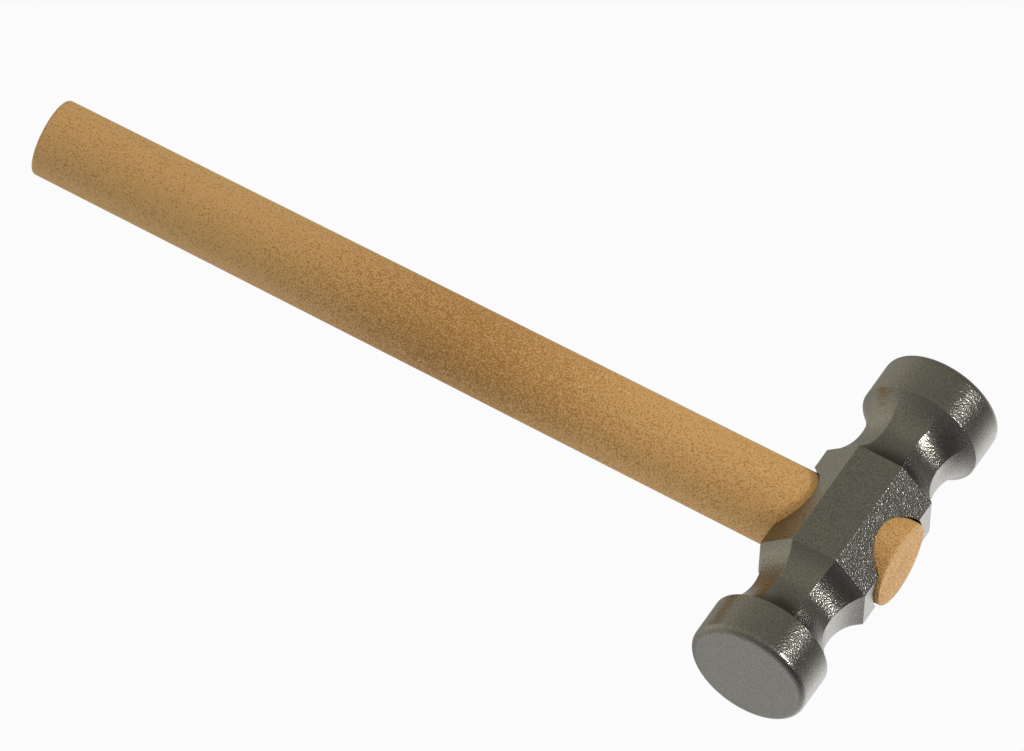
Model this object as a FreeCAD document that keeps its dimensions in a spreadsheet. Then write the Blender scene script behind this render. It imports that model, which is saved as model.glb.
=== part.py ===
"""Double-faced blacksmith hammer: forged steel head, round tapered handle and the wedge that locks them.

The hammer lies on its side.  +X runs along the handle towards the head, +Y along the head from one
striking face to the other, +Z is up.  The origin is under the middle of the hammer, on the surface that
the two round faces lie on.  Every piece is first built about the middle of the eye and then placed.
"""
import FreeCAD, Part
import math
import os

from FreeCAD import Rotation, Vector

EDGE_TOLERANCE = 1e-4          # mm, for finding an edge by its place
SECTIONS_PER_NECK = 9          # loft sections from the eye block to a striking face

doc = FreeCAD.newDocument("blacksmith_hammer")

# ---------------------------------------------------------------- driving dimensions (mm and degrees)
DIMENSIONS = [
    ("face_diameter", 42.0),      # round striking faces, and the circle round the eye block's corners
    ("head_length", 126.6),       # from one striking face to the other
    ("face_height", 15.8),        # length of the round part behind each striking face
    ("face_round", 2.7),          # rounded edge of each striking face
    ("eye_block_length", 42.5),   # octagonal middle of the head, along Y
    ("neck_diameter", 30.3),      # circle round the narrowest octagon of each neck
    ("neck_blend_start", 0.41),   # share of the neck after which its flats begin to turn round
    ("butt_reach", 295.7),        # from the middle of the eye to the butt end of the handle
    ("tenon_proud", 1.4),         # how far the handle stands out of the far side of the eye block
    ("butt_diameter", 26.5),      # handle at its free end
    ("tenon_diameter", 28.9),     # handle at its head end
    ("butt_round", 1.0),
    ("tenon_round", 0.6),
    ("entry_mouth", 30.6),        # eye opening on the handle side
    ("entry_depth", 13.4),        # depth of the flare there
    ("tenon_mouth", 30.8),        # eye opening on the tenon side
    ("tenon_depth", 18.4),        # depth of the flare there
    ("spread_reach", 12.0),       # from the middle of the eye to where the wedge spreads the wood most
    ("wedge_length", 27.0),
    ("wedge_thick", 3.2),         # wedge at the tenon's end
    ("wedge_tip", 0.8),           # wedge at its inner end
]
OCTAGON = 8
HALF_SIDE_ANGLE = 180.0 / OCTAGON

sheet = doc.addObject("Spreadsheet::Sheet", "Dims")
for row, (alias, value) in enumerate(DIMENSIONS, start=1):
    sheet.set(f"A{row}", alias)
    sheet.set(f"B{row}", str(value))
    sheet.setAlias(f"B{row}", alias)
doc.recompute()


def place(thing, x="0", y="0", z="0"):
    """Bind an object's position to expressions of the sheet."""
    for axis, expression in zip("xyz", (x, y, z)):
        thing.setExpression(f"Placement.Base.{axis}", expression)


def primitive(kind, name, axis, **sizes):
    """A Part primitive whose own +Z is turned to axis, with each size bound to an expression."""
    thing = doc.addObject(f"Part::{kind}", name)
    thing.Placement.Rotation = Rotation(Vector(0, 0, 1), axis)
    for size, expression in sizes.items():
        thing.setExpression(size, expression)
    return thing


def edges_at(shape, axis, value):
    """Numbers of the edges whose every point lies at one coordinate along axis (0, 1 or 2)."""
    found = []
    for number, edge in enumerate(shape.Edges, start=1):
        points = edge.discretize(5)
        if all(abs(point[axis] - value) < EDGE_TOLERANCE for point in points):
            found.append(number)
    return found


# Shared expressions: the eye block's flats, the handle's taper and the place of the eye in the part.
FLAT = f"Dims.face_diameter / 2 * cos({HALF_SIDE_ANGLE} deg)"
TENON_END = f"({FLAT} + Dims.tenon_proud)"
HANDLE_LENGTH = f"(Dims.butt_reach + {TENON_END})"
TAPER = f"((Dims.tenon_diameter - Dims.butt_diameter) / 2 / {HANDLE_LENGTH})"
EYE_X = "(Dims.butt_reach - Dims.face_diameter / 2) / 2"
EYE_Z = "Dims.face_diameter / 2"

X_AXIS, Y_AXIS = Vector(1, 0, 0), Vector(0, 1, 0)


def handle_radius(x_expression):
    """Expression for the tapered handle's radius at a distance from the middle of the eye."""
    return f"(Dims.butt_diameter / 2 + {TAPER} * (Dims.butt_reach + {x_expression}))"


# The wood leaves its taper where the eye's flare begins, and fills the flare as far as spread_reach.
SPREAD_START = f"({FLAT} - Dims.tenon_depth)"
START_RADIUS = handle_radius(SPREAD_START)
SPREAD_RADIUS = (f"({START_RADIUS} + (Dims.tenon_mouth / 2 - {START_RADIUS})"
                 f" * (Dims.spread_reach - {SPREAD_START}) / Dims.tenon_depth)")


# ---------------------------------------------------------------- hammer head
# Eye block: an octagonal bar with a flat up, a flat down and a flat to each side.
eye_block = primitive("Prism", "eye_block", Y_AXIS,
                      Circumradius="Dims.face_diameter / 2", Height="Dims.eye_block_length")
eye_block.Polygon = OCTAGON
eye_block.Placement.Rotation = (Rotation(Vector(0, 0, 1), Y_AXIS)
                                * Rotation(Vector(0, 0, 1), HALF_SIDE_ANGLE))
place(eye_block, y="-Dims.eye_block_length / 2")


def neck_section(share):
    """Closed wire of the neck at a share of its length from the eye block.

    The corner radius follows a hollow circular arc between the two ends.  The eight sides are straight
    at first and then bulge evenly until they close up into the striking face's circle.
    """
    outer = sheet.face_diameter / 2
    depth = outer - sheet.neck_diameter / 2
    length = (sheet.head_length - sheet.eye_block_length) / 2 - sheet.face_height
    hollow = (length / 2) ** 2 / (2 * depth) + depth / 2
    along = (share - 0.5) * length
    corner = outer - depth + hollow - math.sqrt(hollow ** 2 - along ** 2)

    start = sheet.neck_blend_start
    turn = min(max((share - start) / (1 - start), 0), 1)
    roundness = turn * turn * (3 - 2 * turn)
    flat = corner * math.cos(math.radians(HALF_SIDE_ANGLE))
    middle = flat + (corner - flat) * roundness

    y = sheet.eye_block_length / 2 + share * length

    def point(radius, angle):
        return Vector(radius * math.sin(math.radians(angle)), y, radius * math.cos(math.radians(angle)))

    edges = []
    for side in range(OCTAGON):
        centre_angle = side * 2 * HALF_SIDE_ANGLE
        first = point(corner, centre_angle - HALF_SIDE_ANGLE)
        last = point(corner, centre_angle + HALF_SIDE_ANGLE)
        if roundness > 0:
            edges.append(Part.Arc(first, point(middle, centre_angle), last).toShape())
        else:
            edges.append(Part.LineSegment(first, last).toShape())
    return Part.Wire(edges)


sections = []
for index in range(SECTIONS_PER_NECK):
    section = doc.addObject("Part::Feature", f"neck_section_{index + 1}")
    section.Shape = neck_section(index / (SECTIONS_PER_NECK - 1))
    sections.append(section)

neck = doc.addObject("Part::Loft", "neck")
neck.Sections = sections
neck.Solid = True
neck.Ruled = False

# Round end with its softened striking edge; the other end is its mirror image.
face_block = primitive("Cylinder", "face_block", Y_AXIS,
                       Radius="Dims.face_diameter / 2", Height="Dims.face_height")
place(face_block, y="Dims.head_length / 2 - Dims.face_height")
doc.recompute()

striking_end = doc.addObject("Part::Fillet", "striking_end")
striking_end.Base = face_block
striking_end.Edges = [(number, sheet.face_round, sheet.face_round)
                      for number in edges_at(face_block.Shape, 1, sheet.head_length / 2)]


def mirrored(source):
    """The same shape on the other side of the eye."""
    mirror = doc.addObject("Part::Mirroring", f"{source.Name}_mirrored")
    mirror.Source = source
    mirror.Normal = Y_AXIS
    return mirror


head_blank = doc.addObject("Part::MultiFuse", "head_blank")
head_blank.Shapes = [eye_block, neck, striking_end, mirrored(neck), mirrored(striking_end)]
head_blank.Refine = True

# Eye: drifted from both sides, so it flares towards both mouths and grips the handle at its waist.
eye_core = primitive("Cone", "eye_core", X_AXIS,
                     Radius1=handle_radius("-Dims.face_diameter"),
                     Radius2=handle_radius("Dims.face_diameter"),
                     Height="2 * Dims.face_diameter")
place(eye_core, x="-Dims.face_diameter")

entry_flare = primitive("Cone", "entry_flare", -X_AXIS,
                        Radius1=handle_radius(f"(Dims.entry_depth - {FLAT})"),
                        Radius2="Dims.entry_mouth / 2",
                        Height="Dims.entry_depth")
place(entry_flare, x=f"Dims.entry_depth - {FLAT}")

tenon_flare = primitive("Cone", "tenon_flare", X_AXIS,
                        Radius1=START_RADIUS, Radius2="Dims.tenon_mouth / 2",
                        Height="Dims.tenon_depth")
place(tenon_flare, x=SPREAD_START)

eye = doc.addObject("Part::MultiFuse", "eye")
eye.Shapes = [eye_core, entry_flare, tenon_flare]

head = doc.addObject("Part::Cut", "hammer_head")
head.Base = head_blank
head.Tool = eye
head.Label = "hammer_head"
place(head, x=EYE_X, z=EYE_Z)

# ---------------------------------------------------------------- handle and wedge
# Tapered stick.  Its tenon is spread in the eye by the wedge, and dressed down again to the stick's size.
taper = primitive("Cone", "taper", X_AXIS, Radius1="Dims.butt_diameter / 2", Radius2=START_RADIUS,
                  Height=f"Dims.butt_reach + {SPREAD_START}")
place(taper, x="-Dims.butt_reach")

spread = primitive("Cone", "spread", X_AXIS, Radius1=START_RADIUS, Radius2=SPREAD_RADIUS,
                   Height=f"Dims.spread_reach - {SPREAD_START}")
place(spread, x=SPREAD_START)

dressing = primitive("Cone", "dressing", X_AXIS, Radius1=SPREAD_RADIUS, Radius2="Dims.tenon_diameter / 2",
                     Height=f"{TENON_END} - Dims.spread_reach")
place(dressing, x="Dims.spread_reach")

stick = doc.addObject("Part::MultiFuse", "stick")
stick.Shapes = [taper, spread, dressing]
doc.recompute()

tenon_end = stick.Shape.BoundBox.XMax
turned_stick = doc.addObject("Part::Fillet", "turned_stick")
turned_stick.Base = stick
turned_stick.Edges = (
    [(number, sheet.butt_round, sheet.butt_round)
     for number in edges_at(stick.Shape, 0, -sheet.butt_reach)]
    + [(number, sheet.tenon_round, sheet.tenon_round)
       for number in edges_at(stick.Shape, 0, tenon_end)])

# Kerf: a tapered saw cut across the tenon, in line with the head.  The wedge fills it, flush all round.
kerf = doc.addObject("Part::Wedge", "kerf")
WEDGE_BOUNDS = {
    "Xmin": "-Dims.wedge_tip / 2", "Xmax": "Dims.wedge_tip / 2",
    "X2min": "-Dims.wedge_thick / 2", "X2max": "Dims.wedge_thick / 2",
    "Zmin": "-Dims.tenon_diameter", "Zmax": "Dims.tenon_diameter",
    "Z2min": "-Dims.tenon_diameter", "Z2max": "Dims.tenon_diameter",
    "Ymin": f"{TENON_END} - Dims.wedge_length", "Ymax": TENON_END,
}
for bound, expression in WEDGE_BOUNDS.items():
    kerf.setExpression(bound, expression)
# The primitive tapers along its own Y: that becomes the part's +X, its thickness the part's Z.
kerf.Placement.Rotation = Rotation(Vector(0, 0, 1), Vector(1, 0, 0), Vector(0, 1, 0), "ZYX")

handle = doc.addObject("Part::Cut", "handle")
handle.Base = turned_stick
handle.Tool = kerf
handle.Label = "handle"
place(handle, x=EYE_X, z=EYE_Z)

wedge = doc.addObject("Part::Common", "wooden_wedge")
wedge.Base = turned_stick
wedge.Tool = kerf
wedge.Label = "wooden_wedge"
place(wedge, x=EYE_X, z=EYE_Z)

# ---------------------------------------------------------------- checks and export
doc.recompute()
for thing in doc.Objects:
    if "Invalid" in thing.State or "Error" in thing.State:
        raise RuntimeError(f"{thing.Name} failed: {thing.State}")

SUBPARTS = [head, handle, wedge]
for piece in SUBPARTS:
    if piece.Shape.isNull() or not piece.Shape.isValid():
        raise RuntimeError(f"{piece.Label} has no valid shape")
    if len(piece.Shape.Solids) != 1:
        raise RuntimeError(f"{piece.Label} is {len(piece.Shape.Solids)} solids, not one")

os.makedirs("parts", exist_ok=True)
for piece in SUBPARTS:
    piece.Shape.exportStep(f"parts/{piece.Label}.step")
    box = piece.Shape.BoundBox
    print(f"{piece.Label}: {piece.Shape.Volume / 1000:.1f} cm3, "
          f"x {box.XMin:.2f}..{box.XMax:.2f}, y {box.YMin:.2f}..{box.YMax:.2f}, "
          f"z {box.ZMin:.2f}..{box.ZMax:.2f}")
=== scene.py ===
# %% [markdown]
# # A double-faced forging hammer
#
# The real tool is three pieces: a head forged and ground from one bar of steel, a round stick of
# hardwood that runs through its eye, and a wooden wedge that spreads the end of the stick so that the
# head can't fly off.  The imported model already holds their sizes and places.  This script makes the
# surfaces that are seen: softly broken steel edges, the flared eye, turned wood with its saw kerf, and
# a material for each.

import math

import bpy
import numpy as np
from mathutils import Matrix, Vector


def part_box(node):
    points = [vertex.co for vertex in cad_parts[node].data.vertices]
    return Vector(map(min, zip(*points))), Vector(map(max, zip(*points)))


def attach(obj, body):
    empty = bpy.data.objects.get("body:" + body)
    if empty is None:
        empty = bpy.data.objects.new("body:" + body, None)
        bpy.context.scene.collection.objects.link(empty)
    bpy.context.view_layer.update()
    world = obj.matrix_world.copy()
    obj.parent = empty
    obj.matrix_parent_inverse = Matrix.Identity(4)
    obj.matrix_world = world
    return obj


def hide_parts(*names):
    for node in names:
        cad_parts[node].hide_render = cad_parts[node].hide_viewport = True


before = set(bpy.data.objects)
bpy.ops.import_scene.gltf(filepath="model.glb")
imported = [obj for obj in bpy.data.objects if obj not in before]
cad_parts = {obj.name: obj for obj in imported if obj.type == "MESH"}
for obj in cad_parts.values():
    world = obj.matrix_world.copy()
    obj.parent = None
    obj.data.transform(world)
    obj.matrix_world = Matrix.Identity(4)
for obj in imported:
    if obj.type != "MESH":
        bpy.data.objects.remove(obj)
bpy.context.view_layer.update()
MM = 0.001

# %% [markdown]
# ## Sizes
#
# Whatever the model can tell is read from it: how long the head is, how round, where the handle ends.
# The rest are the head's few inner sizes.  Everything is worked out about the middle of the eye, where
# the head's axis and the handle's axis cross.

# %% Sizes in metres
head_low, head_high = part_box("hammer_head")
handle_low, handle_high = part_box("handle")
wedge_low, wedge_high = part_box("wooden_wedge")

FACE_RADIUS = (head_high[2] - head_low[2]) / 2
HEAD_HALF = head_high[1]
EYE = Vector(((head_low[0] + head_high[0]) / 2, 0, (head_low[2] + head_high[2]) / 2))
BUTT = handle_low[0] - EYE.x
TENON = handle_high[0] - EYE.x

EYE_BLOCK_HALF = 21.25 * MM
FACE_HEIGHT = 15.8 * MM
FACE_ROUND = 2.7 * MM
NECK_RADIUS = 15.15 * MM
NECK_BLEND_START = 0.41
EDGE_BREAK = 0.3 * MM

BUTT_RADIUS = 13.25 * MM
TENON_RADIUS = 14.45 * MM
BUTT_ROUND = 1.0 * MM
TENON_ROUND = 0.6 * MM

ENTRY_MOUTH, ENTRY_DEPTH = 15.3 * MM, 13.4 * MM
TENON_MOUTH, TENON_DEPTH = 15.4 * MM, 18.4 * MM
SPREAD_REACH = 12.0 * MM

SIDES = 8
HALF_SIDE = math.pi / SIDES
FLAT = FACE_RADIUS * math.cos(HALF_SIDE)
print("face diameter", round(2 * FACE_RADIUS / MM, 1), "mm, head", round(2 * HEAD_HALF / MM, 1), "mm")

# %% [markdown]
# ## From arrays to a mesh
#
# Every new piece here is a closed tube of rings: a grid of points whose rows are rings along the piece
# and whose columns go round it, closed by a fan of triangles at each end.  The whole grid is worked out
# at once with numpy, and one helper turns it into a mesh.

# %% Rings to mesh
def rings_to_object(name, rings, first_cap, last_cap):
    """A closed mesh from rings (rows, columns, 3), each ring running round the piece, and two cap centres.

    Face k of a row joins columns k and k + 1 of that row to the same columns of the next row.
    """
    rows, columns, _ = rings.shape
    points = np.vstack([rings.reshape(-1, 3), first_cap, last_cap])
    index = np.arange(rows * columns).reshape(rows, columns)
    ahead = np.roll(index, -1, axis=1)
    quads = np.stack([index[:-1], ahead[:-1], ahead[1:], index[1:]], axis=-1).reshape(-1, 4)
    start = np.full(columns, rows * columns)
    first_fan = np.stack([ahead[0], index[0], start], axis=-1)
    last_fan = np.stack([index[-1], ahead[-1], start + 1], axis=-1)
    faces = quads.tolist() + first_fan.tolist() + last_fan.tolist()

    mesh = bpy.data.meshes.new(name)
    mesh.from_pydata(points.tolist(), [], faces)
    mesh.shade_smooth()
    mesh.validate()
    thing = bpy.data.objects.new(name, mesh)
    bpy.context.scene.collection.objects.link(thing)
    return thing


def signed_volume(mesh):
    """Volume inside a closed mesh: a sixth of the sum of the triple products of its triangles."""
    mesh.calc_loop_triangles()
    corners = np.empty(len(mesh.loop_triangles) * 3, dtype=np.int32)
    mesh.loop_triangles.foreach_get("vertices", corners)
    places = np.empty(len(mesh.vertices) * 3)
    mesh.vertices.foreach_get("co", places)
    a, b, c = np.moveaxis(places.reshape(-1, 3)[corners.reshape(-1, 3)], 1, 0)
    return float(np.einsum("ij,ij->", a, np.cross(b, c)) / 6)


def outward(thing):
    """Turns a closed mesh the right way out, and returns it."""
    if signed_volume(thing.data) < 0:
        thing.data.flip_normals()
    print(thing.name, "holds", round(signed_volume(thing.data) / MM ** 3 / 1000, 1), "cm3,",
          len(thing.data.polygons), "faces")
    return thing


def arc(centre, radius, start, stop, count):
    """Points on a circle in the plane of a profile; angles in radians, both ends included."""
    angle = np.linspace(start, stop, count)
    return np.column_stack([centre[0] + radius * np.cos(angle), centre[1] + radius * np.sin(angle)])


def line(first, last, count):
    """Evenly spaced points from first to last, both ends included."""
    return np.linspace(first, last, count)


def without_repeats(points):
    """The same points, less those that repeat the one before."""
    step = np.linalg.norm(np.diff(points, axis=0), axis=1)
    return points[np.concatenate([[True], step > 1e-7])]


# %% [markdown]
# ## The head's profile
#
# Half of the head's outline, from the middle of the eye block out to the middle of a striking face, is
# drawn as distance along the head against distance from its axis.  Where two surfaces meet, a real head
# is broken with a file or a belt, so each corner gets a small arc of 0.3 mm.  That arc is what catches the
# thin bright line of light that tells the eye "steel".  A hollow arc of radius H joins the block to the
# round end; the small arcs touch both it and the straight parts beside it.

# %% Half profile of the head
neck_length = HEAD_HALF - FACE_HEIGHT - EYE_BLOCK_HALF
neck_depth = FACE_RADIUS - NECK_RADIUS
hollow_radius = (neck_length / 2) ** 2 / (2 * neck_depth) + neck_depth / 2
hollow_centre = np.array([EYE_BLOCK_HALF + neck_length / 2, NECK_RADIUS + hollow_radius])


def half_profile():
    """Points (along, out) from the middle of the eye block to the middle of a striking face."""
    reach = hollow_radius + EDGE_BREAK
    rise = hollow_centre[1] - (FACE_RADIUS - EDGE_BREAK)
    run = math.sqrt(reach ** 2 - rise ** 2)
    lean = math.atan2(rise, run)
    block_corner = hollow_centre - [run, rise]
    face_corner = hollow_centre + [run, -rise]
    block_end, face_end = block_corner[0], face_corner[0]
    cylinder_end = HEAD_HALF - FACE_ROUND
    return without_repeats(np.vstack([
        line([0, FACE_RADIUS], [block_end - 0.3 * MM, FACE_RADIUS], 8),
        arc(block_corner, EDGE_BREAK, math.pi / 2, lean, 6),
        arc(hollow_centre, hollow_radius, math.pi + lean, 2 * math.pi - lean, 40),
        arc(face_corner, EDGE_BREAK, math.pi - lean, math.pi / 2, 6),
        line([face_end + 0.3 * MM, FACE_RADIUS], [cylinder_end - 0.3 * MM, FACE_RADIUS], 5),
        arc([cylinder_end, FACE_RADIUS - FACE_ROUND], FACE_ROUND, math.pi / 2, 0, 14),
        line([HEAD_HALF, FACE_RADIUS - FACE_ROUND - 0.3 * MM], [HEAD_HALF, 1.5 * MM], 6),
    ]))


profile = half_profile()
print("half profile:", len(profile), "points, hollow radius", round(hollow_radius / MM, 2), "mm")

# %% [markdown]
# ## From octagon to circle
#
# The eye block is an octagon whose corners lie on the circle of the striking faces.  Along each neck the
# eight flats stay flat past the narrowest place, and then swell until they meet the round end without
# any corner.  So a section is a blend of two outlines: an octagon and a circle.
#
# The octagon is the outer edge of eight half-planes.  Taking the largest of the eight cosines gives
# knife-sharp corners.  A power mean of them, with a high power, gives the same flats with corners that
# are rounded by a few tenths of a millimetre, and needs no extra edges or modifiers.

# %% Head surface
CORNER_POWER = 600
STEPS_PER_HALF_SIDE = 13


def angles_round_head():
    """Angles round the head's axis, packed closely at the corners of the octagon."""
    step = np.linspace(0, 1, STEPS_PER_HALF_SIDE, endpoint=False)
    towards_corner = 1 - (1 - step) ** 2
    local = np.concatenate([towards_corner, [1.0], 2 - towards_corner[:0:-1]]) * HALF_SIDE
    return (np.arange(SIDES)[:, None] * 2 * HALF_SIDE + local[None, :]).ravel()


def soft_octagon(angle):
    """Outline radius of an octagon in a unit circle: cos(half side) over a power mean of the cosines."""
    middles = np.arange(SIDES) * 2 * HALF_SIDE
    facing = np.maximum(np.cos(angle[:, None] - middles[None, :]), 0)
    return math.cos(HALF_SIDE) / (facing ** CORNER_POWER).sum(axis=1) ** (1 / CORNER_POWER)


def roundness(along):
    """0 where the section is an octagon, 1 where it is a circle, with a smooth step between."""
    share = (np.abs(along) - EYE_BLOCK_HALF) / neck_length
    turn = np.clip((share - NECK_BLEND_START) / (1 - NECK_BLEND_START), 0, 1)
    return turn * turn * (3 - 2 * turn)


def head_surface():
    """Rings (along, out * outline(angle)) from one striking face to the other."""
    mirrored = profile[:0:-1] * [-1, 1]
    along, out = np.vstack([mirrored, profile]).T
    angle = angles_round_head()
    blend = roundness(along)[:, None]
    outline = (1 - blend) * soft_octagon(angle)[None, :] + blend
    radius = out[:, None] * outline
    y = np.broadcast_to(along[:, None], radius.shape)
    rings = np.stack([EYE.x + radius * np.sin(angle), y, EYE.z + radius * np.cos(angle)], axis=-1)
    return rings, [EYE.x, -HEAD_HALF, EYE.z], [EYE.x, HEAD_HALF, EYE.z]


head = outward(rings_to_object("forged_head", *head_surface()))

# %% [markdown]
# ## Handle
#
# The handle is turned: a slow taper, a touch thicker at the head.  Inside the eye the wedge spreads it until
# it fills the flare, and where it comes out it is rasped down to the stick's own size.  Rings of one circle
# carried along its axis make it, with small arcs at both ends.

# %% Turned pieces along the handle
def turned(name, outline, columns=160):
    """A piece turned round the handle's axis: outline holds (along, radius), and the ends are closed."""
    angle = np.linspace(0, 2 * math.pi, columns, endpoint=False)
    along, radius = outline[:, 0][:, None], outline[:, 1][:, None]
    x = np.broadcast_to(EYE.x + along, (len(outline), columns))
    rings = np.stack([x, radius * np.cos(angle), EYE.z + radius * np.sin(angle)], axis=-1)
    ends = [[EYE.x + outline[0, 0], 0, EYE.z], [EYE.x + outline[-1, 0], 0, EYE.z]]
    return outward(rings_to_object(name, rings, *ends))


def taper_radius(along):
    """Radius of the plain taper at a distance along it from the middle of the eye."""
    return BUTT_RADIUS + (TENON_RADIUS - BUTT_RADIUS) * (along - BUTT) / (TENON - BUTT)


SPREAD_START = FLAT - TENON_DEPTH
SPREAD_SHARE = (SPREAD_REACH - SPREAD_START) / TENON_DEPTH
SPREAD_RADIUS = (1 - SPREAD_SHARE) * taper_radius(SPREAD_START) + SPREAD_SHARE * TENON_MOUTH


def stick_radius(along):
    """Radius of the wood: the taper, then the eye's flare as far as SPREAD_REACH, then back to the taper."""
    return np.interp(along, [BUTT, SPREAD_START, SPREAD_REACH, TENON],
                     [BUTT_RADIUS, taper_radius(SPREAD_START), SPREAD_RADIUS, TENON_RADIUS])


def with_spread(stations):
    """The same stations along the stick, and the two where its outline turns."""
    return np.union1d(stations, [SPREAD_START, SPREAD_REACH])


def handle_outline():
    """Outline from the middle of the butt to the middle of the tenon's end."""
    butt_centre = [BUTT + BUTT_ROUND, BUTT_RADIUS - BUTT_ROUND]
    tenon_centre = [TENON - TENON_ROUND, TENON_RADIUS - TENON_ROUND]
    body = with_spread(np.linspace(BUTT + BUTT_ROUND + 0.3 * MM, TENON - TENON_ROUND - 0.2 * MM, 70))
    return without_repeats(np.vstack([
        line([BUTT, 1.0 * MM], [BUTT, BUTT_RADIUS - BUTT_ROUND - 0.2 * MM], 6),
        arc(butt_centre, BUTT_ROUND, math.pi, math.pi / 2, 8),
        np.column_stack([body, stick_radius(body)]),
        arc(tenon_centre, TENON_ROUND, math.pi / 2, 0, 6),
        line([TENON, TENON_RADIUS - TENON_ROUND - 0.2 * MM], [TENON, 1.0 * MM], 6),
    ]))


handle = turned("turned_handle", handle_outline())

# %% [markdown]
# ## The eye
#
# The eye is punched and drifted, so it is tight in its middle and flares to both mouths.  The flare shows
# as the thin dark ring round the wood, which painted shade on the wood inside the eye makes darker.  A turned
# cutter of that shape is taken out of the head with a Boolean, which is applied at once, so that the head is
# left as one plain closed mesh.

# %% Cut the eye
EYE_PLAY = 0.02 * MM


def eye_outline():
    """Outline of the cutter: wider than the taper by a hair, and flared towards both mouths."""
    beyond = 8 * MM
    along = np.array([-FLAT - beyond, -FLAT, ENTRY_DEPTH - FLAT,
                      FLAT - TENON_DEPTH, FLAT, FLAT + beyond])
    radius = taper_radius(along) + EYE_PLAY
    radius[:2] = ENTRY_MOUTH
    radius[-2:] = TENON_MOUTH
    return np.column_stack([along, radius])


def cut_away(thing, cutter):
    """Takes the cutter out of a mesh, keeps the result as plain mesh and deletes the cutter."""
    modifier = thing.modifiers.new("cut", "BOOLEAN")
    modifier.operation = "DIFFERENCE"
    modifier.solver = "EXACT"
    modifier.object = cutter
    bpy.context.view_layer.update()
    evaluated = thing.evaluated_get(bpy.context.evaluated_depsgraph_get())
    result = bpy.data.meshes.new_from_object(evaluated)
    thing.modifiers.clear()
    thing.data = result
    bpy.data.objects.remove(cutter)
    return outward(thing)


cut_away(head, turned("eye_cutter", eye_outline()))

# %% [markdown]
# ## Wedge and kerf
#
# The handle's end is sawn down the middle before it goes into the eye.  A thin wedge of the same wood is
# driven in and trimmed flush, so all that shows is a hairline on each side of it.  The wedge is a tapered
# slab whose edges follow the round stick.  Its outer edges are broken by a tenth of a millimetre: that
# groove is the hairline.

# %% Wedge
WEDGE_INNER = wedge_low[0] - EYE.x
WEDGE_THICK = (wedge_high[2] - wedge_low[2]) / 2
WEDGE_TIP = 0.4 * MM
HAIRLINE = 0.1 * MM


def slab_ring(along, shrink, points=24):
    """Outline across the stick at one place: two long flats at +-half thickness, closed by the stick's arcs."""
    share = (along - WEDGE_INNER) / (TENON - WEDGE_INNER)
    half = WEDGE_TIP + (WEDGE_THICK - WEDGE_TIP) * share - shrink
    radius = stick_radius(along) - EYE_PLAY / 2 - shrink
    side = math.asin(half / radius)
    chord = radius * math.cos(side)
    flat = np.linspace(-chord, chord, points)
    bow = np.linspace(side, -side, 7)[1:-1]
    top = np.column_stack([flat, np.full(points, half)])
    right = np.column_stack([radius * np.cos(bow), radius * np.sin(bow)])
    outline = np.vstack([top, right, -top, -right])
    return np.column_stack([np.full(len(outline), EYE.x + along), outline[:, 0], EYE.z + outline[:, 1]])


def slab(name, shrink, end, stations=12):
    """The wedge, or the tool that saws its kerf: rings of that outline along the stick."""
    body = with_spread(np.linspace(WEDGE_INNER, end - HAIRLINE, stations))
    rings = [slab_ring(along, shrink) for along in body]
    if shrink >= 0:
        rings.append(slab_ring(end - 0.3 * HAIRLINE, shrink + 0.3 * HAIRLINE))
        rings.append(slab_ring(end, shrink + HAIRLINE))
    else:
        rings.append(slab_ring(end, shrink))
    rings = np.array(rings)
    return outward(rings_to_object(name, rings, rings[0].mean(axis=0), rings[-1].mean(axis=0)))


cut_away(handle, slab("kerf_saw", -0.02 * MM, TENON + 1 * MM))
wedge = slab("split_wedge", 0.0, TENON)

# %% [markdown]
# Smooth shading is right along the broken edges, but it must not run round the sharp rims that the two
# cuts left, so edges that turn by more than 30 degrees are marked sharp.

# %% Sharp rims and bodies
SHARP_ANGLE = math.radians(30)
for piece in (head, handle, wedge):
    piece.data.shade_smooth()
    piece.data.set_sharp_from_angle(angle=SHARP_ANGLE)
    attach(piece, "root")

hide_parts("hammer_head")
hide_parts("handle")
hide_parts("wooden_wedge")

# %% [markdown]
# ## Materials
#
# Two helpers are enough.  Colours are written as the sRGB hex values that a colour picker shows, and one
# function turns them into the linear values that the renderer works in.  The other adds any node, sets
# its values and links its inputs in one call.

# %% Material helpers
def linear(hex_colour, alpha=1.0):
    """Linear colour from an sRGB hex value such as 'b07a42'."""
    channels = [int(hex_colour[i:i + 2], 16) / 255 for i in (0, 2, 4)]
    return [c / 12.92 if c <= 0.04045 else ((c + 0.055) / 1.055) ** 2.4 for c in channels] + [alpha]


def add(tree, kind, links=None, values=None, **settings):
    """Adds a node: settings are its properties, values its sockets' constants, links its inputs."""
    node = tree.nodes.new(kind)
    for name, value in settings.items():
        setattr(node, name, value)
    for socket, value in (values or {}).items():
        node.inputs[socket].default_value = value
    for socket, source in (links or {}).items():
        tree.links.new(source, node.inputs[socket])
    return node


def new_material(name, **shader_values):
    """A material with one principled shader whose constants are set on its own sockets."""
    material = bpy.data.materials.new(name)
    material.use_nodes = True
    tree = material.node_tree
    tree.nodes.clear()
    shader = add(tree, "ShaderNodeBsdfPrincipled",
                 values={socket.replace("_", " "): value for socket, value in shader_values.items()})
    add(tree, "ShaderNodeOutputMaterial", links={"Surface": shader.outputs[0]})
    return material, tree, shader


def per_metre(size_mm):
    """Texture scale that gives features of about this size in millimetres."""
    return 1 / (size_mm * MM)


def ramp(tree, source, stops, interpolation="LINEAR"):
    """A colour ramp: stops are (position, grey value or hex colour)."""
    node = add(tree, "ShaderNodeValToRGB", links={"Fac": source})
    node.color_ramp.interpolation = interpolation
    elements = node.color_ramp.elements
    while len(elements) < len(stops):
        elements.new(0.5)
    for element, (position, value) in zip(elements, stops):
        element.position = position
        element.color = linear(value) if isinstance(value, str) else [value, value, value, 1]
    return node.outputs["Color"]


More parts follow.
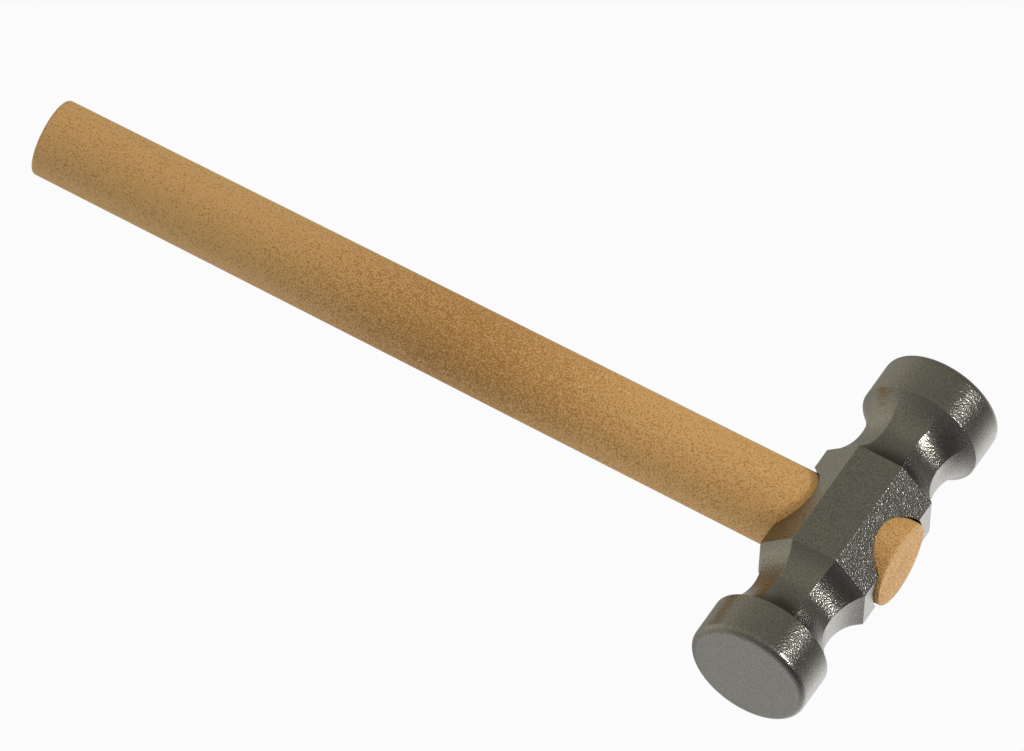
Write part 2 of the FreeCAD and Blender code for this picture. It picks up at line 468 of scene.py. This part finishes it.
# %% [markdown]
# ### Grit-blasted steel
#
# The head is bare medium-carbon steel, blasted or tumbled after grinding.  Its surface is a field of
# tiny dents.  Each one tilts the surface a little, so in a dark reflection the steel looks evenly grey,
# while near a bright one single dents flash and others stay dark: the speckle.  Fine bump over a fairly
# glossy metal gives that; a high roughness alone only blurs.
#
# Real dents are nearer a tenth of a millimetre and would be too fine to show, so they are drawn half a
# millimetre wide, and the patches of scale between them a third of a millimetre.

# %% Steel
def blasted_steel():
    material, tree, shader = new_material("grit_blasted_forged_steel", Metallic=1.0)
    place = add(tree, "ShaderNodeTexCoord").outputs["Object"]
    grit = add(tree, "ShaderNodeTexNoise", links={"Vector": place},
               values={"Scale": per_metre(0.52), "Detail": 0.0})
    scale = add(tree, "ShaderNodeTexNoise", links={"Vector": place},
                values={"Scale": per_metre(0.33), "Detail": 0.0})
    colour = ramp(tree, scale.outputs["Fac"], [(0.3, "74726d"), (0.7, "94928d")])
    rough = ramp(tree, grit.outputs["Fac"], [(0.3, 0.29), (0.7, 0.23)])
    bump = add(tree, "ShaderNodeBump", links={"Height": grit.outputs["Fac"]},
               values={"Strength": 1.0, "Distance": 0.09 * MM})
    tree.links.new(colour, shader.inputs["Base Color"])
    tree.links.new(rough, shader.inputs["Roughness"])
    tree.links.new(bump.outputs["Normal"], shader.inputs["Normal"])
    return material


# %% [markdown]
# ### Turned hardwood
#
# The handle is a pale tan hardwood with the short brown flecks of beech.  Three scales make it: broad
# patches where the flecks thin out or crowd, most of all in the middle of the handle, the flecks
# themselves, under a millimetre across, and very faint growth rings round an axis beside the stick.
# Real flecks are narrower and longer than this, and are drawn half a millimetre wide so that they show.
#
# As the rings are a solid pattern, they show as straight grain along the handle and as arcs on its ends,
# and the wedge cut from another billet only needs its own ring axis.
#
# Inside the eye the wood is painted dark brown.  This is painted shade: it draws the thin dark line round the
# wood at the steel, where the gap between them lies in shade.

# %% Wood
# Dark brown painted as shade on the wood inside the eye.
EYE_GAP_SHADE = "6b5230"


def inside_eye(tree, place):
    """1 inside the eye block and 0 outside it: the larger of |x| and (|x| + |z|) / sqrt 2 meets the flats."""
    centred = add(tree, "ShaderNodeMapping", links={"Vector": place}, values={"Location": -EYE})
    axes = add(tree, "ShaderNodeSeparateXYZ", links={0: centred.outputs[0]})
    x = add(tree, "ShaderNodeMath", operation="ABSOLUTE", links={0: axes.outputs["X"]}).outputs[0]
    z = add(tree, "ShaderNodeMath", operation="ABSOLUTE", links={0: axes.outputs["Z"]}).outputs[0]
    both = add(tree, "ShaderNodeMath", operation="ADD", links={0: x, 1: z}).outputs[0]
    slant = add(tree, "ShaderNodeMath", operation="MULTIPLY", links={0: both}, values={1: math.sqrt(0.5)})
    reach = add(tree, "ShaderNodeMath", operation="MAXIMUM", links={0: x, 1: slant.outputs[0]}).outputs[0]
    return add(tree, "ShaderNodeMapRange", interpolation_type="SMOOTHSTEP", links={"Value": reach},
               values={"From Min": FLAT - 0.6 * MM, "From Max": FLAT, "To Min": 1.0, "To Max": 0.0}).outputs[0]


def turned_wood(name, ring_axis_mm, pale, tan, fleck):
    material, tree, shader = new_material(name, Roughness=0.6, Specular_IOR_Level=0.25)
    place = add(tree, "ShaderNodeTexCoord").outputs["Object"]
    flecks = add(tree, "ShaderNodeTexNoise", links={"Vector": place},
                 values={"Scale": per_metre(0.5), "Detail": 1.0, "Roughness": 0.5, "Distortion": 0.3})
    patches = add(tree, "ShaderNodeTexNoise", links={"Vector": place},
                  values={"Scale": per_metre(110), "Detail": 1.0})
    along = add(tree, "ShaderNodeSeparateXYZ", links={0: place}).outputs["X"]
    from_middle = add(tree, "ShaderNodeMath", operation="ABSOLUTE", links={0: along}).outputs[0]
    middle = add(tree, "ShaderNodeMapRange", interpolation_type="SMOOTHSTEP", links={"Value": from_middle},
                 values={"From Min": 0.0, "From Max": 110 * MM, "To Min": -0.055, "To Max": -0.175}).outputs[0]
    crowd = add(tree, "ShaderNodeMath", operation="MULTIPLY_ADD",
                links={0: patches.outputs["Fac"], 2: middle}, values={1: 0.25})
    level = add(tree, "ShaderNodeMath", operation="ADD",
                links={0: flecks.outputs["Fac"], 1: crowd.outputs[0]})
    marks = ramp(tree, level.outputs[0], [(0.47, 0.0), (0.60, 1.0)])

    split = add(tree, "ShaderNodeMapping", links={"Vector": place},
                values={"Location": (0, -ring_axis_mm[0] * MM, -ring_axis_mm[1] * MM), "Scale": (0.03, 1, 1)})
    rings = add(tree, "ShaderNodeTexWave", links={"Vector": split.outputs[0]}, wave_type="RINGS",
                rings_direction="X", values={"Scale": per_metre(2.4) / 20, "Distortion": 1.5,
                                             "Detail": 2.0, "Detail Scale": 1.0})
    base = add(tree, "ShaderNodeMix", data_type="RGBA", links={0: rings.outputs["Fac"]},
               values={6: linear(pale), 7: linear(tan)})
    flecked = add(tree, "ShaderNodeMix", data_type="RGBA", links={0: marks, 6: base.outputs[2]},
                  values={7: linear(fleck)})
    # The wood is made up to 12 percent lighter towards the head end of the handle.
    lighter_towards_head = add(tree, "ShaderNodeMapRange", interpolation_type="SMOOTHSTEP", links={"Value": along},
                   values={"From Min": -20 * MM, "From Max": 60 * MM, "To Min": 0.95, "To Max": 1.12})
    colour = add(tree, "ShaderNodeHueSaturation",
                 links={"Value": lighter_towards_head.outputs[0], "Color": flecked.outputs[2]})
    bump = add(tree, "ShaderNodeBump", links={"Height": marks},
               values={"Strength": 0.2, "Distance": 0.03 * MM})
    bump.invert = True
    # Painted shade: the wood inside the eye is mixed to dark brown, standing in for the shade in the gap at the
    # steel.
    shaded_in_eye = add(tree, "ShaderNodeMix", data_type="RGBA", values={7: linear(EYE_GAP_SHADE)},
                  links={0: inside_eye(tree, place), 6: colour.outputs[0]})
    tree.links.new(shaded_in_eye.outputs[2], shader.inputs["Base Color"])
    tree.links.new(bump.outputs["Normal"], shader.inputs["Normal"])
    return material


head.data.materials.clear()
head.data.materials.append(blasted_steel())
for piece, wood in ((handle, turned_wood("turned_beech", (9, -34), "e9be82", "e3b478", "b88549")),
                    (wedge, turned_wood("split_beech", (-20, 30), "e7bb80", "e1b177", "b88549"))):
    piece.data.materials.clear()
    piece.data.materials.append(wood)

# %% [markdown]
# ## Studio
#
# The room is a soft pale surround of six broad glows: a dim ceiling, three walls, and the pale bench in
# front of and behind the hammer.  Bare steel has hardly any colour of its own, so each glow is there
# because some side of the head mirrors it.  The top flat mirrors the ceiling, the striking face mirrors the
# bench in front, and the right flat mirrors the bench behind, which the key light makes the brightest.
#
# A glow falls off as exp(tightness * (cosine - 1)) away from its direction.  A lens never sees the glows
# themselves, only a plain pale backdrop.

# %% Surround
WARM, WHITE = "fffbe6", "ffffff"
GLOWS = [  # name, direction, tightness, strength, colour
    ("ceiling", (0, 0, 1), 3, 0.45, WARM),
    ("left wall", (-1, 0, 0), 3, 0.9, WARM),
    ("front wall", (0, -1, 0), 3, 0.15, WHITE),
    ("back wall", (0, 1, 0), 3, 0.25, WARM),
    ("bench in front", (0, -1, -1), 4, 0.8, WHITE),
    ("lit bench behind", (1, 1, -2), 6, 1.6, WHITE),
]
BACKDROP = "fbfbfb"


def surround():
    world = bpy.data.worlds.new("studio")
    bpy.context.scene.world = world
    world.use_nodes = True
    tree = world.node_tree
    tree.nodes.clear()
    ray = add(tree, "ShaderNodeTexCoord").outputs["Generated"]
    total = None
    for name, direction, tightness, strength, colour in GLOWS:
        facing = add(tree, "ShaderNodeVectorMath", operation="DOT_PRODUCT", label=name,
                     links={0: ray}, values={1: Vector(direction).normalized()})
        scaled = add(tree, "ShaderNodeMath", operation="MULTIPLY_ADD",
                     links={0: facing.outputs["Value"]}, values={1: tightness, 2: -tightness})
        glow = add(tree, "ShaderNodeMath", operation="EXPONENT", links={0: scaled.outputs[0]})
        tint = [channel * strength for channel in linear(colour)[:3]]
        lit = add(tree, "ShaderNodeVectorMath", operation="SCALE",
                  links={"Scale": glow.outputs[0]}, values={0: tint}).outputs[0]
        if total:
            lit = add(tree, "ShaderNodeVectorMath", operation="ADD", links={0: total, 1: lit}).outputs[0]
        total = lit
    light = add(tree, "ShaderNodeBackground", links={"Color": total})
    plain = add(tree, "ShaderNodeBackground", values={"Color": linear(BACKDROP)})
    seen = add(tree, "ShaderNodeLightPath").outputs["Is Camera Ray"]
    both = add(tree, "ShaderNodeMixShader", links={0: seen, 1: light.outputs[0], 2: plain.outputs[0]})
    add(tree, "ShaderNodeOutputWorld", links={"Surface": both.outputs[0]})


surround()

# %% [markdown]
# The key light is a soft box far off to the right, well above the hammer: a sun lamp nine degrees wide.  It
# puts the head's shadow on the handle with a slightly soft edge, and makes the bright patches on the steel.

# %% Key light
KEY_AZIMUTH, KEY_ELEVATION = math.radians(15), math.radians(35.5)
KEY_WIDTH = math.radians(9)


def key_light():
    lamp = bpy.data.lights.new("key_soft_box", "SUN")
    lamp.energy, lamp.angle = 1.5, KEY_WIDTH
    lamp.color = linear("fffdf8")[:3]
    key = bpy.data.objects.new("key_soft_box", lamp)
    towards = Vector((math.cos(KEY_AZIMUTH) * math.cos(KEY_ELEVATION),
                      math.sin(KEY_AZIMUTH) * math.cos(KEY_ELEVATION), math.sin(KEY_ELEVATION)))
    key.rotation_euler = towards.to_track_quat("Z", "Y").to_euler()
    bpy.context.scene.collection.objects.link(key)


key_light()

# %% [markdown]
# The floor is a plain pale sheet as bright as the backdrop.  It only backs the picture: it throws no light
# and no shadow, so the glows below it still reach the underside of the steel.

# %% Floor
FLOOR_SIZE = 40.0


def pale_floor():
    half = FLOOR_SIZE / 2
    mesh = bpy.data.meshes.new("floor")
    corners = [(-half, -half, 0), (half, -half, 0), (half, half, 0), (-half, half, 0)]
    mesh.from_pydata(corners, [], [(0, 1, 2, 3)])
    floor = bpy.data.objects.new("floor", mesh)
    bpy.context.scene.collection.objects.link(floor)
    material = bpy.data.materials.new("pale_floor")
    material.use_nodes = True
    tree = material.node_tree
    tree.nodes.clear()
    paper = add(tree, "ShaderNodeEmission", values={"Color": linear(BACKDROP), "Strength": 1.0})
    add(tree, "ShaderNodeOutputMaterial", links={"Surface": paper.outputs[0]})
    mesh.materials.append(material)
    floor.visible_glossy = floor.visible_diffuse = floor.visible_shadow = False
    floor.location.z = -0.1 * MM


pale_floor()

# %% [markdown]
# ## Camera
#
# The picture is a catalogue view: from above and to the right of the striking face, through a lens so long
# that parallel edges stay parallel.  The camera's three axes are worked out from azimuth, elevation and a
# slight tilt, and the lens from how wide a strip of the scene it should hold.

# %% Camera
AZIMUTH, ELEVATION, TILT = (math.radians(a) for a in (27.24, 55.13, 3.87))
DISTANCE = 11.0
FIELD_WIDTH = 327.5 * MM
AIM_LEFT_OF_EYE, AIM_ABOVE_EYE = 106.5 * MM, 51.65 * MM
SENSOR = 36.0


def studio_camera():
    back = Vector((math.sin(AZIMUTH) * math.cos(ELEVATION), -math.cos(AZIMUTH) * math.cos(ELEVATION),
                   math.sin(ELEVATION)))
    level = Vector((math.cos(AZIMUTH), math.sin(AZIMUTH), 0))
    upright = back.cross(level)
    right = math.cos(TILT) * level + math.sin(TILT) * upright
    up = back.cross(right)
    aim = EYE - AIM_LEFT_OF_EYE * right + AIM_ABOVE_EYE * up
    data = bpy.data.cameras.new("catalogue_camera")
    data.sensor_width = SENSOR
    data.lens = SENSOR * DISTANCE / FIELD_WIDTH
    data.clip_start, data.clip_end = 0.5, 100
    camera = bpy.data.objects.new("catalogue_camera", data)
    bpy.context.scene.collection.objects.link(camera)
    turn = Matrix((right, up, back)).transposed().to_4x4()
    camera.matrix_world = Matrix.Translation(aim + back * DISTANCE) @ turn
    bpy.context.scene.camera = camera
    print("lens", round(data.lens), "mm")


studio_camera()
bpy.context.scene.view_settings.view_transform = "Standard"
